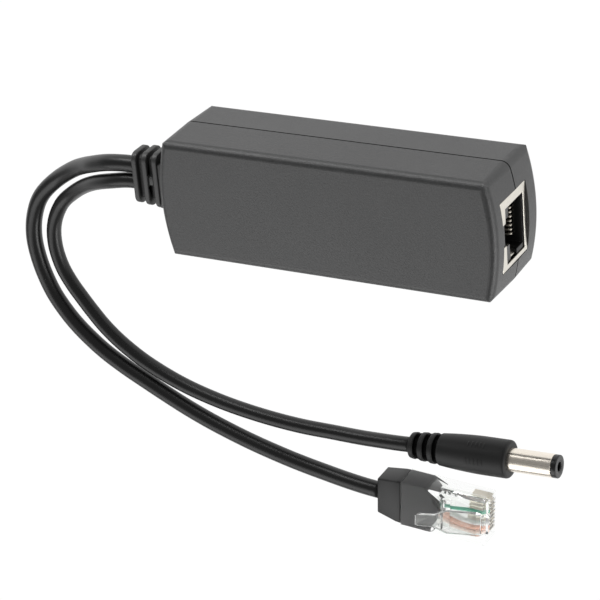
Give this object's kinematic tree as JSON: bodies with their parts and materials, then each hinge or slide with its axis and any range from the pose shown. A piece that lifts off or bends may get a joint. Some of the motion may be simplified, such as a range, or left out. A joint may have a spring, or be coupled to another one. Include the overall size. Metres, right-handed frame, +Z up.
{
  "type": "poe splitter",
  "caption": "In-line network power splitter: two-shell case, shielded socket at one end, and a data cord with a clear plug and a power cord with a barrel plug from a ribbed gland.",
  "frame": {"origin": "middle of the case's length and width, on the plain face that the case rests on", "axes": "+X along the case to the network socket, +Z up to the big face, +Y across the case to the data cord's side"},
  "size_m": [0.1389, 0.101, 0.0238],
  "materials": {
    "case": "fine matte texture",
    "gland": "moulded, satin",
    "cord": "smooth cord jacket",
    "grip": "moulded, satin",
    "nickel": "bright nickel plate",
    "shield": "nickel-plated sheet",
    "black_plastic": "moulded, smooth",
    "gold": "gold plate",
    "clear": "clear moulding",
    "wire_white_orange": "smooth",
    "wire_orange": "smooth",
    "wire_white_green": "smooth",
    "wire_green": "smooth",
    "board": "solder mask",
    "component": "moulded",
    "ferrite": "ground ferrite",
    "bobbin": "moulded",
    "winding": "enamelled wire",
    "can": "plain can",
    "ceramic_chip": "fired",
    "white_chip": "moulded",
    "red_wire": "smooth"
  },
  "bodies": {
    "root": {"top_shell": "case", "bottom_shell": "case", "circuit_board": "board", "jack_shield": "shield", "jack_insert": "black_plastic", "jack_contacts": "gold", "network_transformer": "component", "power_transformer_core": "ferrite", "power_transformer_bobbin": "bobbin", "power_transformer_winding": "winding", "input_capacitor": "can", "output_capacitors": "can", "bridge_rectifiers": "component", "controller_chip": "component", "opto_isolator": "white_chip", "output_diode": "component", "output_inductor": "ferrite", "ceramic_capacitors": "ceramic_chip", "chip_resistors": "component", "data_leads": "wire_orange", "power_leads": "red_wire", "cable_gland": "gland", "data_cable": "cord", "dc_cable": "cord", "dc_plug_grip": "grip", "dc_plug_sleeve": "nickel", "dc_plug_insulator": "black_plastic", "dc_plug_inner_contact": "gold", "data_plug_body": "clear", "data_plug_boot": "grip", "data_plug_contacts": "gold", "plug_wire_1": "wire_white_orange", "plug_wire_2": "wire_orange", "plug_wire_3": "wire_white_green", "plug_wire_6": "wire_green"}
  },
  "joints": []
}
